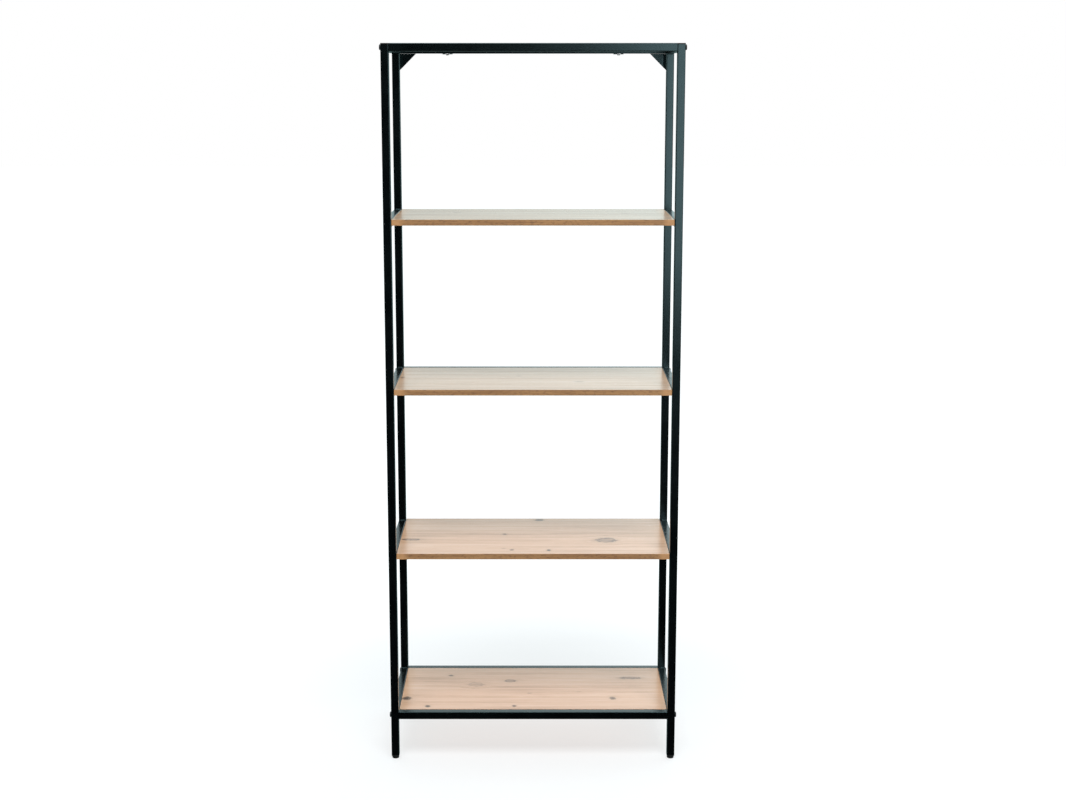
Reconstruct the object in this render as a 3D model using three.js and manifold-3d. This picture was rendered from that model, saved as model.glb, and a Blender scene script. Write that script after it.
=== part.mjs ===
// Open metal-frame bookcase: two ladder side frames of square tube, five bolted cross rails,
// four wood-decor boards that lie between the side rails, and four levelling feet.
// Millimetres, +Z up, +X to the right of somebody who stands in front (who looks along +Y).
// The origin is on the floor, in the middle of the footprint.
import * as THREE from 'three';
import { mergeVertices } from 'three/addons/utils/BufferGeometryUtils.js';
import Module from 'manifold-3d';

// ---- driving dimensions ----------------------------------------------------------------

// frame
const FRAME_WIDTH = 745; // over the posts, without the bolt heads
const FRAME_DEPTH = 350; // over the posts
const BASE_LEVEL = 130; // floor to the top of the lowest board
const BAY_PITCH = 430; // top of one level to the top of the next
const BAYS = 4;
const TUBE = 20; // square tube, outside
const TUBE_WALL = 1.2;
const TUBE_CORNER = 1.8; // outside corner radius

// boards
const BOARD_THICKNESS = 15;
const BOARD_SETBACK = 1; // board edge behind the face of the posts
const BOARD_CLEARANCE = 0.8; // board edge to the tube beside it

// board tabs, welded to the inner faces of the side rails
const TAB_REACH = 20;
const TAB_LENGTH = 32;
const TAB_THICKNESS = 2;
const TAB_FROM_END = 46; // tab centre to the end of its side rail
const TAB_WELD = 0.6; // how far a welded piece runs into its tube's wall

// gussets under the rear top rail
const GUSSET_LEG = 43;
const GUSSET_STEEL = 2;
const GUSSET_FLANGE = 8; // folded strip beside the post
const GUSSET_FOLD = 5; // how far the fold stands forward of the plate

// wall brackets under the rear top rail
const BRACKET_SPACING = 452; // centre to centre
const BRACKET_WIDTH = 26;
const BRACKET_STEEL = 1.6;
const BRACKET_NOSE = 7; // slant of the front corners
const BRACKET_RISE = 18; // height of the leg behind the rail
const BRACKET_WALL_HOLE = 5;

// cross-rail bolts and the threaded blocks that they enter
const BOLT_SHANK = 6;
const BOLT_HEAD = 14;
const BOLT_HEAD_HEIGHT = 3.4;
const BOLT_SOCKET = 4; // across the corners of the key socket
const BOLT_SOCKET_DEPTH = 2;
const BLOCK_LENGTH = 10;
const BOLT_BEYOND_BLOCK = 2;

// small screws, for the boards and the wall brackets
const SCREW_SHANK = 4;
const SCREW_HEAD = 8;
const SCREW_HEAD_HEIGHT = 2.4;
const SCREW_BITE = 10; // how deep a board screw enters its board
const BRACKET_SCREW_BITE = 6;

// plastic parts
const CAP_FLANGE = 2.5;
const CAP_EDGE = 0.9; // rounding of a cap's upper edge
const PLUG_FLANGE = 2;
const PLUG_STEM = 16;
const FOOT_DIAMETER = 18;
const FOOT_HEIGHT = 8;
const FOOT_EDGE = 2; // rounding of the foot's lower edge
const FOOT_STEM = 6;
const FOOT_STEM_LENGTH = 28;

// fits
const TOUCH = 0.3; // between faces that bear on each other
const HOLE_CLEARANCE = 0.3; // radial, round a shank in its hole

// facets of round work
const FACETS_CORNER = 2;
const FACETS_SMALL = 12;
const FACETS_FOOT = 20;
const ROUNDING_STEPS = 3;

// ---- worked out from the driving dimensions --------------------------------------------

const HEIGHT = BASE_LEVEL + BAYS * BAY_PITCH;
const LEVEL_NAMES = ['bottom', 'lower', 'middle', 'upper', 'top'];
const LEVELS = LEVEL_NAMES.map((name, index) => ({ name, top: BASE_LEVEL + index * BAY_PITCH }));
const TOP_LEVEL = LEVELS[BAYS];

const POST_X = (FRAME_WIDTH - TUBE) / 2;
const POST_Y = (FRAME_DEPTH - TUBE) / 2;
const INNER_X = POST_X - TUBE / 2;
const POST_BOTTOM = FOOT_HEIGHT + PLUG_FLANGE + 2 * TOUCH;
const POST_TOP = HEIGHT - CAP_FLANGE - TOUCH;
const CROSS_LENGTH = 2 * (INNER_X - TOUCH);
const SIDE_LENGTH = FRAME_DEPTH - 2 * TUBE - 2 * TOUCH;
const TUBE_BORE = TUBE - 2 * TUBE_WALL;

const CAP_STEM = TUBE / 2 - CAP_FLANGE - BOLT_SHANK / 2 - 2 * TOUCH; // ends above the bolts
const TAB_TOP = BOARD_THICKNESS + TOUCH; // below the level's top
const TAB_X = INNER_X - TAB_REACH / 2;
const TAB_Y = SIDE_LENGTH / 2 - TAB_FROM_END;

const FRAME_SHIFT_Y = -(BRACKET_STEEL + TOUCH) / 2; // keeps the origin in the middle of the depth

const SIDES = [
  { name: 'left', sign: -1 },
  { name: 'right', sign: 1 },
];
const ENDS = [
  { name: 'front', sign: -1 },
  { name: 'back', sign: 1 },
];
const CROSS_RAILS = [
  { end: ENDS[0], level: LEVELS[0] },
  { end: ENDS[0], level: TOP_LEVEL },
  { end: ENDS[1], level: LEVELS[0] },
  { end: ENDS[1], level: LEVELS[2] },
  { end: ENDS[1], level: TOP_LEVEL },
];
// how far the front and the back edge of each board stand inside the frame
const UNDER_RAIL = TUBE + BOARD_CLEARANCE;
const BOARDS = [
  { level: LEVELS[0], front: UNDER_RAIL, back: UNDER_RAIL, screwed: true },
  { level: LEVELS[1], front: BOARD_SETBACK, back: BOARD_SETBACK, screwed: false },
  { level: LEVELS[2], front: BOARD_SETBACK, back: UNDER_RAIL, screwed: true },
  { level: LEVELS[3], front: BOARD_SETBACK, back: BOARD_SETBACK, screwed: false },
];

// ---- materials --------------------------------------------------------------------------

const FINISHES = {
  powder_coat: { color: 0x101314, roughness: 0.42, metalness: 0.2 },
  oak_decor: { color: 0xc9a684, roughness: 0.55, metalness: 0 },
  black_bolt: { color: 0x17191a, roughness: 0.35, metalness: 0.6 },
  zinc_steel: { color: 0xb8bdbd, roughness: 0.35, metalness: 0.9 },
  black_plastic: { color: 0x121313, roughness: 0.6, metalness: 0 },
};

function piece(name, geometry, finish) {
  const mesh = new THREE.Mesh(geometry, new THREE.MeshStandardMaterial(FINISHES[finish]));
  mesh.name = name;
  return mesh;
}

// ---- joining and cutting ----------------------------------------------------------------

const wasm = await Module();
wasm.setup();

function solid(geometry) {
  const plain = geometry.clone();
  plain.deleteAttribute('normal');
  plain.deleteAttribute('uv');
  const merged = mergeVertices(plain, 1e-4);
  return new wasm.Manifold(new wasm.Mesh({
    numProp: 3,
    vertProperties: merged.attributes.position.array,
    triVerts: new Uint32Array(merged.index.array),
  }));
}

function toGeometry(manifold) {
  const mesh = manifold.getMesh();
  const geometry = new THREE.BufferGeometry();
  geometry.setAttribute('position', new THREE.BufferAttribute(mesh.vertProperties, 3));
  geometry.setIndex(new THREE.BufferAttribute(mesh.triVerts, 1));
  geometry.computeVertexNormals();
  return geometry;
}

function join(base, additions) {
  return additions.reduce((whole, addition) => whole.add(solid(addition)), solid(base));
}

function cut(base, cutters) {
  return cutters.reduce((whole, cutter) => whole.subtract(solid(cutter)), base);
}

// ---- basic shapes -----------------------------------------------------------------------

// Square outline with round corners, centred on the origin.
function squareOutline(size, corner) {
  const edge = size / 2;
  const bend = edge - corner;
  const shape = new THREE.Shape();
  shape.moveTo(bend, -edge);
  shape.absarc(bend, -bend, corner, -Math.PI / 2, 0);
  shape.absarc(bend, bend, corner, 0, Math.PI / 2);
  shape.absarc(-bend, bend, corner, Math.PI / 2, Math.PI);
  shape.absarc(-bend, -bend, corner, Math.PI, 1.5 * Math.PI);
  shape.closePath();
  return shape;
}

function polygon(points) {
  return new THREE.Shape(points.map(([x, y]) => new THREE.Vector2(x, y)));
}

function prism(shape, length) {
  return new THREE.ExtrudeGeometry(shape, {
    depth: length,
    bevelEnabled: false,
    curveSegments: FACETS_CORNER,
  });
}

// Square tube along Z, centred on the origin.
function tube(length) {
  const outline = squareOutline(TUBE, TUBE_CORNER);
  const bore = TUBE_BORE / 2;
  outline.holes.push(polygon([[-bore, -bore], [-bore, bore], [bore, bore], [bore, -bore]]));
  return prism(outline, length).translate(0, 0, -length / 2);
}

// Round bar along Z from low to high.
function bar(diameter, low, high, facets = FACETS_SMALL) {
  return new THREE.CylinderGeometry(diameter / 2, diameter / 2, high - low, facets)
    .rotateX(Math.PI / 2)
    .translate(0, 0, (low + high) / 2);
}

function box(width, depth, height) {
  return new THREE.BoxGeometry(width, depth, height);
}

// A body of revolution about Z; its outline runs from the axis to the axis, lowest point first.
function turned(outline, facets) {
  const points = outline.map(([radius, z]) => new THREE.Vector2(radius, z));
  return new THREE.LatheGeometry(points, facets).rotateX(Math.PI / 2);
}

// Points of a quarter of an ellipse about (radius, z), from the first angle to the last.
function quarter(radius, z, reach, rise, from, to) {
  return Array.from({ length: ROUNDING_STEPS + 1 }, (_, step) => {
    const angle = from + ((to - from) * step) / ROUNDING_STEPS;
    return [radius + reach * Math.cos(angle), z + rise * Math.sin(angle)];
  });
}

// ---- frame ------------------------------------------------------------------------------

function boltHole(z) {
  const hole = bar(BOLT_SHANK + 2 * HOLE_CLEARANCE, -TUBE, TUBE);
  return hole.rotateY(Math.PI / 2).translate(0, 0, z);
}

// Post with a through hole for each cross rail that meets it.
function post(end, side) {
  const length = POST_TOP - POST_BOTTOM;
  const centre = (POST_TOP + POST_BOTTOM) / 2;
  const holes = CROSS_RAILS
    .filter((rail) => rail.end === end)
    .map((rail) => boltHole(rail.level.top - TUBE / 2 - centre));
  const mesh = piece(`post_${end.name}_${side.name}`,
    toGeometry(cut(solid(tube(length)), holes)), 'powder_coat');
  mesh.position.set(side.sign * POST_X, end.sign * POST_Y, centre);
  return mesh;
}

// Rail between a front and a back post. All but the top pair carry two drilled board tabs.
function sideRail(side, level) {
  const rail = tube(SIDE_LENGTH).rotateX(Math.PI / 2);
  let body = solid(rail);
  if (level !== TOP_LEVEL) {
    const tabZ = TUBE / 2 - TAB_TOP - TAB_THICKNESS / 2;
    const reach = TAB_REACH + TAB_WELD;
    const tabX = -side.sign * (TUBE / 2 + TAB_REACH - reach / 2);
    const holeX = -side.sign * (TUBE / 2 + TAB_REACH / 2);
    for (const end of ENDS) {
      const tab = box(reach, TAB_LENGTH, TAB_THICKNESS).translate(tabX, end.sign * TAB_Y, tabZ);
      const hole = bar(SCREW_SHANK + 2 * HOLE_CLEARANCE, -TAB_THICKNESS, TAB_THICKNESS)
        .translate(holeX, end.sign * TAB_Y, tabZ);
      body = body.add(solid(tab)).subtract(solid(hole));
    }
  }
  const mesh = piece(`side_rail_${side.name}_${level.name}`, toGeometry(body), 'powder_coat');
  mesh.position.set(side.sign * POST_X, 0, level.top - TUBE / 2);
  return mesh;
}

// Rail between the two side frames, with a threaded block welded into each end.
function crossRail({ end, level }) {
  const rail = tube(CROSS_LENGTH).rotateY(Math.PI / 2);
  const blockSize = TUBE_BORE + TAB_WELD;
  const blocks = SIDES.map((side) => box(BLOCK_LENGTH, blockSize, blockSize)
    .translate(side.sign * (CROSS_LENGTH - BLOCK_LENGTH) / 2, 0, 0));
  const threads = [bar(BOLT_SHANK + 2 * HOLE_CLEARANCE, -FRAME_WIDTH, FRAME_WIDTH)
    .rotateY(Math.PI / 2)];
  if (end === ENDS[1] && level === TOP_LEVEL) {
    for (const side of SIDES) {
      threads.push(bar(SCREW_SHANK + 2 * HOLE_CLEARANCE, -TUBE, 0)
        .translate(side.sign * BRACKET_SPACING / 2, 0, 0));
    }
  }
  const mesh = piece(`cross_rail_${end.name}_${level.name}`,
    toGeometry(cut(join(rail, blocks), threads)), 'powder_coat');
  mesh.position.set(0, end.sign * POST_Y, level.top - TUBE / 2);
  return mesh;
}

// Triangular plate in the corner of the rear top rail and a rear post, with a strip beside
// the post that is folded forward.
function gusset(side) {
  const flat = GUSSET_LEG - GUSSET_FLANGE;
  const back = GUSSET_STEEL;
  const plan = polygon([
    [0, -GUSSET_FOLD], [GUSSET_FLANGE, 0], [GUSSET_LEG, 0],
    [GUSSET_LEG, back], [GUSSET_LEG - flat - back / 2, back], [0, back - GUSSET_FOLD],
  ]);
  const blank = solid(prism(plan, GUSSET_LEG).translate(0, 0, -GUSSET_LEG));
  const triangle = prism(polygon([[0, 0], [0, -GUSSET_LEG], [GUSSET_LEG, 0]]), TUBE)
    .rotateX(Math.PI / 2)
    .translate(0, TUBE / 2, 0);
  const mesh = piece(`gusset_${side.name}`,
    toGeometry(blank.intersect(solid(triangle))), 'powder_coat');
  if (side.sign > 0) {
    mesh.scale.x = -1;
  }
  mesh.position.set(side.sign * (INNER_X - TOUCH), POST_Y, HEIGHT - TUBE - TOUCH);
  return mesh;
}

// Angle that ties the rear top rail to a wall: one leg under the rail, one leg behind it.
function wallBracket(side) {
  const depth = TUBE + TOUCH + BRACKET_STEEL;
  const nose = BRACKET_WIDTH / 2 - BRACKET_NOSE;
  const plan = polygon([
    [-nose, 0], [nose, 0], [BRACKET_WIDTH / 2, BRACKET_NOSE], [BRACKET_WIDTH / 2, depth],
    [-BRACKET_WIDTH / 2, depth], [-BRACKET_WIDTH / 2, BRACKET_NOSE],
  ]);
  const foot = prism(plan, BRACKET_STEEL);
  const rise = BRACKET_RISE + BRACKET_STEEL;
  const leg = box(BRACKET_WIDTH, BRACKET_STEEL, rise)
    .translate(0, depth - BRACKET_STEEL / 2, rise / 2);
  const screwHole = bar(SCREW_SHANK + 2 * HOLE_CLEARANCE, -TUBE, TUBE)
    .translate(0, TUBE / 2, 0);
  const wallHole = bar(BRACKET_WALL_HOLE, -TUBE, TUBE)
    .rotateX(Math.PI / 2)
    .translate(0, depth, BRACKET_STEEL + BRACKET_RISE / 2);
  const mesh = piece(`wall_bracket_${side.name}`,
    toGeometry(cut(join(foot, [leg]), [screwHole, wallHole])), 'zinc_steel');
  mesh.position.set(side.sign * BRACKET_SPACING / 2, POST_Y - TUBE / 2,
    HEIGHT - TUBE - TOUCH - BRACKET_STEEL);
  return mesh;
}

// ---- fasteners --------------------------------------------------------------------------

// Dome-head bolt along +Z with a key socket; the head's flat underside is at z = 0.
function boltGeometry() {
  const length = TUBE + 2 * TOUCH + BLOCK_LENGTH + BOLT_BEYOND_BLOCK;
  const socket = BOLT_SOCKET / 2;
  const rim = 0.25 * BOLT_HEAD_HEIGHT;
  const dome = quarter(socket, -rim, BOLT_HEAD / 2 - socket, BOLT_HEAD_HEIGHT - rim,
    -Math.PI / 2, 0);
  return turned([
    [0, BOLT_SOCKET_DEPTH - BOLT_HEAD_HEIGHT], [socket, BOLT_SOCKET_DEPTH - BOLT_HEAD_HEIGHT],
    ...dome, [BOLT_HEAD / 2, 0], [BOLT_SHANK / 2, 0], [BOLT_SHANK / 2, length], [0, length],
  ], FACETS_SMALL);
}

function crossRailBolt({ end, level }, side) {
  const mesh = piece(`bolt_${end.name}_${level.name}_${side.name}`, boltGeometry(), 'black_bolt');
  mesh.rotation.y = -side.sign * Math.PI / 2;
  mesh.position.set(side.sign * (FRAME_WIDTH / 2 + TOUCH), end.sign * POST_Y,
    level.top - TUBE / 2);
  return mesh;
}

// Round-head screw that points up; the head's upper face is at z = 0.
function screwGeometry(length) {
  const dome = quarter(0, 0, SCREW_HEAD / 2, SCREW_HEAD_HEIGHT, -Math.PI / 2, 0);
  return turned([...dome, [SCREW_SHANK / 2, 0], [SCREW_SHANK / 2, length - SCREW_SHANK / 2],
    [0, length]], FACETS_SMALL);
}

function boardScrew(level, end, side) {
  const length = TAB_THICKNESS + 2 * TOUCH + SCREW_BITE;
  const mesh = piece(`screw_${level.name}_${end.name}_${side.name}`,
    screwGeometry(length), 'zinc_steel');
  mesh.position.set(side.sign * TAB_X, end.sign * TAB_Y,
    level.top - TAB_TOP - TAB_THICKNESS - TOUCH);
  return mesh;
}

function bracketScrew(side) {
  const length = BRACKET_STEEL + 2 * TOUCH + BRACKET_SCREW_BITE;
  const mesh = piece(`bracket_screw_${side.name}`, screwGeometry(length), 'zinc_steel');
  mesh.position.set(side.sign * BRACKET_SPACING / 2, POST_Y,
    HEIGHT - TUBE - 2 * TOUCH - BRACKET_STEEL);
  return mesh;
}

// ---- boards -----------------------------------------------------------------------------

// Board between the side rails, drilled from below where screws hold it.
function board({ level, front, back, screwed }) {
  const width = 2 * (INNER_X - BOARD_CLEARANCE);
  const depth = FRAME_DEPTH - front - back;
  const centreY = (front - back) / 2;
  const blank = solid(box(width, depth, BOARD_THICKNESS));
  const holes = [];
  if (screwed) {
    const top = SCREW_BITE + TOUCH - BOARD_THICKNESS / 2;
    for (const end of ENDS) {
      for (const side of SIDES) {
        holes.push(bar(SCREW_SHANK + 2 * HOLE_CLEARANCE, -BOARD_THICKNESS, top)
          .translate(side.sign * TAB_X, end.sign * TAB_Y - centreY, 0));
      }
    }
  }
  const mesh = piece(`board_${level.name}`, toGeometry(cut(blank, holes)), 'oak_decor');
  mesh.position.set(0, centreY, level.top - BOARD_THICKNESS / 2);
  return mesh;
}

// ---- plastic parts ----------------------------------------------------------------------

// Cap in the upper end of a post: a rounded flange on a square stem.
function postCap(end, side) {
  const flange = new THREE.ExtrudeGeometry(squareOutline(TUBE - 2 * CAP_EDGE, TUBE_CORNER / 2), {
    depth: CAP_FLANGE - CAP_EDGE,
    bevelThickness: CAP_EDGE,
    bevelSize: CAP_EDGE,
    bevelSegments: 2,
    curveSegments: FACETS_CORNER,
  });
  const stemSize = TUBE_BORE - 2 * TOUCH;
  const stem = box(stemSize, stemSize, CAP_STEM + CAP_FLANGE / 2)
    .translate(0, 0, (CAP_FLANGE / 2 - CAP_STEM) / 2);
  const level = solid(box(2 * TUBE, 2 * TUBE, TUBE).translate(0, 0, TUBE / 2));
  const head = solid(flange).intersect(level);
  const mesh = piece(`cap_${end.name}_${side.name}`,
    toGeometry(head.add(solid(stem))), 'black_plastic');
  mesh.position.set(side.sign * POST_X, end.sign * POST_Y, HEIGHT - CAP_FLANGE);
  return mesh;
}

// Threaded plug in the lower end of a post, which takes the stem of a levelling foot.
function footPlug(end, side) {
  const flange = prism(squareOutline(TUBE, TUBE_CORNER), PLUG_FLANGE);
  const stemSize = TUBE_BORE - 2 * TOUCH;
  const stem = box(stemSize, stemSize, PLUG_STEM + PLUG_FLANGE)
    .translate(0, 0, (PLUG_STEM + PLUG_FLANGE) / 2);
  const thread = bar(FOOT_STEM + 2 * HOLE_CLEARANCE, -TUBE, 2 * TUBE);
  const mesh = piece(`foot_plug_${end.name}_${side.name}`,
    toGeometry(cut(join(flange, [stem]), [thread])), 'black_plastic');
  mesh.position.set(side.sign * POST_X, end.sign * POST_Y, FOOT_HEIGHT + TOUCH);
  return mesh;
}

// Round foot with a stem that screws into its plug.
function levellingFoot(end, side) {
  const radius = FOOT_DIAMETER / 2;
  const edge = quarter(radius - FOOT_EDGE, FOOT_EDGE, FOOT_EDGE, FOOT_EDGE, -Math.PI / 2, 0);
  const stem = FOOT_STEM / 2;
  const outline = [[0, 0], ...edge, [radius, FOOT_HEIGHT], [stem, FOOT_HEIGHT],
    [stem, FOOT_STEM_LENGTH], [0, FOOT_STEM_LENGTH]];
  const mesh = piece(`levelling_foot_${end.name}_${side.name}`,
    turned(outline, FACETS_FOOT), 'black_plastic');
  mesh.position.set(side.sign * POST_X, end.sign * POST_Y, 0);
  return mesh;
}

// ---- assembly ---------------------------------------------------------------------------

const bookcase = new THREE.Group();
bookcase.name = 'bookcase';
bookcase.position.y = FRAME_SHIFT_Y;

for (const side of SIDES) {
  const ladder = new THREE.Group();
  for (const end of ENDS) {
    ladder.add(post(end, side), postCap(end, side), footPlug(end, side), levellingFoot(end, side));
  }
  for (const level of LEVELS) {
    ladder.add(sideRail(side, level));
  }
  ladder.add(gusset(side), wallBracket(side), bracketScrew(side));
  bookcase.add(ladder);
}

for (const rail of CROSS_RAILS) {
  bookcase.add(crossRail(rail));
  for (const side of SIDES) {
    bookcase.add(crossRailBolt(rail, side));
  }
}

for (const shelf of BOARDS) {
  bookcase.add(board(shelf));
  if (shelf.screwed) {
    for (const end of ENDS) {
      for (const side of SIDES) {
        bookcase.add(boardScrew(shelf.level, end, side));
      }
    }
  }
}

export default bookcase;
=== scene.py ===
"""Looks of the open metal-frame bookcase: powder-coated tube, oak-decor boards and small fittings.

Every size is in metres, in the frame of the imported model: +Z up, +Y towards the wall side.
"""
import logging
import math
from collections.abc import Callable, Iterable, Sequence
from dataclasses import dataclass, field
from enum import Enum

import bmesh
import bpy
from mathutils import Matrix, Vector


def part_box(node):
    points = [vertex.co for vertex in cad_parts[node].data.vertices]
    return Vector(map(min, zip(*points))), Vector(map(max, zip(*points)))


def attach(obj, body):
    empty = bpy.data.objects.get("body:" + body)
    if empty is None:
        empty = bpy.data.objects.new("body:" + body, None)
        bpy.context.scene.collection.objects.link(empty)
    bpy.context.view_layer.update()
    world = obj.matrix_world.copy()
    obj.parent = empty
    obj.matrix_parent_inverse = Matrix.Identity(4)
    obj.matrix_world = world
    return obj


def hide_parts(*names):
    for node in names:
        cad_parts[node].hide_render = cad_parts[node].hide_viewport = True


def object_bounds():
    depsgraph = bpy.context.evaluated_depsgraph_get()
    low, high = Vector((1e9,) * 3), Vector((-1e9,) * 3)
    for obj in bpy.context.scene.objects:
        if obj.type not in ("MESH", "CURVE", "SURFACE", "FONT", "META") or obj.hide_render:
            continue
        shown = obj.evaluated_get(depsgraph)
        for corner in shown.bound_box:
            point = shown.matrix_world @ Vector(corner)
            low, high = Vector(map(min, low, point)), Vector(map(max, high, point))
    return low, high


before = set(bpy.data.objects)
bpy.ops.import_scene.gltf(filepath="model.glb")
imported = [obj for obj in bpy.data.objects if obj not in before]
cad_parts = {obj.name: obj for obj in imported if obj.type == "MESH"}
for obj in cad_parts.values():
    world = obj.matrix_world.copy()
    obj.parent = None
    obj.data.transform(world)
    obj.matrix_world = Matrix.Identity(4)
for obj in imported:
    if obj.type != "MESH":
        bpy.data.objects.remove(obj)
CAD_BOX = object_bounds()
LOG = logging.getLogger("bookcase")

MM = 0.001
FLAT = 0.99          # how nearly a face's normal follows an axis that it is said to look along
PARALLEL = 0.999     # how nearly an edge follows an axis that it is said to run along
IN_PLANE = 0.02 * MM  # how near a vertex is to a plane that it is said to lie in
Colour = tuple[float, float, float]
Triple = tuple[float, float, float]


class Named(Enum):
    """A choice whose name stands in node names."""

    @property
    def word(self) -> str:
        """The name as node names have it."""
        return self.name.lower()


class Side(Named):
    """The two side frames, with the sign of their X."""

    LEFT = -1
    RIGHT = 1


class End(Named):
    """Front and back of the bookcase, with the sign of their Y."""

    FRONT = -1
    BACK = 1


class Level(Named):
    """The five levels of rails, lowest first."""

    BOTTOM = 0
    LOWER = 1
    MIDDLE = 2
    UPPER = 3
    TOP = 4


class Axis(Enum):
    """A direction of the frame, with its index in a vector."""

    X = 0
    Y = 1
    Z = 2

    @property
    def turn(self) -> Triple:
        """Euler angles that turn +Z to this axis."""
        quarter = math.pi / 2
        return {Axis.X: (0.0, quarter, 0.0), Axis.Y: (-quarter, 0.0, 0.0), Axis.Z: (0.0, 0.0, 0.0)}[self]

    def split(self, along: float, across: float) -> Triple:
        """Three numbers, with one value for this axis and one for the other two."""
        return tuple(along if index == self.value else across for index in range(3))

    def vector(self, length: float) -> Vector:
        """A vector of the given length along this axis."""
        return Vector(self.split(length, 0.0))


CROSS_RAILS = (
    (End.FRONT, Level.BOTTOM),
    (End.FRONT, Level.TOP),
    (End.BACK, Level.BOTTOM),
    (End.BACK, Level.MIDDLE),
    (End.BACK, Level.TOP),
)
SCREWED_LEVELS = (Level.BOTTOM, Level.MIDDLE)
LOOSE_LEVELS = (Level.LOWER, Level.UPPER)


BOARD_END = 352 * MM   # from a board's middle to its end
END_PAINTED_LIGHT_FROM = BOARD_END - 35 * MM   # where the light painted towards that end starts


def centre_of(node: str) -> Vector:
    """Middle of a node's box at rest."""
    low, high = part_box(node)
    return (Vector(low) + Vector(high)) / 2


# ---- shader graphs ------------------------------------------------------------------------


@dataclass(frozen=True)
class Wire:
    """A value that runs through a shader graph; its arithmetic adds Math nodes."""

    graph: "Graph"
    socket: bpy.types.NodeSocket | None

    def _math(self, operation: str, *terms: "Wire | float") -> "Wire":
        """Adds one Math node.

        Args:
            operation: the node's operation.
            terms: its inputs, in order.

        Returns:
            The node's result.
        """
        return self.graph.node("ShaderNodeMath", {"operation": operation}, dict(enumerate(terms)))

    def __add__(self, other: "Wire | float") -> "Wire":
        """Sum."""
        return self._math("ADD", self, other)

    __radd__ = __add__

    def __sub__(self, other: "Wire | float") -> "Wire":
        """Difference."""
        return self._math("SUBTRACT", self, other)

    def __rsub__(self, other: float) -> "Wire":
        """Difference, with this value taken away."""
        return self._math("SUBTRACT", other, self)

    def __mul__(self, other: "Wire | float") -> "Wire":
        """Product."""
        return self._math("MULTIPLY", self, other)

    __rmul__ = __mul__

    def __truediv__(self, other: "Wire | float") -> "Wire":
        """Quotient."""
        return self._math("DIVIDE", self, other)

    def smaller(self, other: "Wire | float") -> "Wire":
        """The smaller of two values."""
        return self._math("MINIMUM", self, other)

    def larger(self, other: "Wire | float") -> "Wire":
        """The larger of two values."""
        return self._math("MAXIMUM", self, other)

    def root(self) -> "Wire":
        """Square root."""
        return self._math("SQRT", self)

    def ramp(self, low: float, high: float) -> "Wire":
        """Rises smoothly from 0 where the value is low to 1 where it is high."""
        return self.graph.node("ShaderNodeMapRange", {"interpolation_type": "SMOOTHSTEP"},
                               {"Value": self, "From Min": low, "From Max": high})


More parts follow.
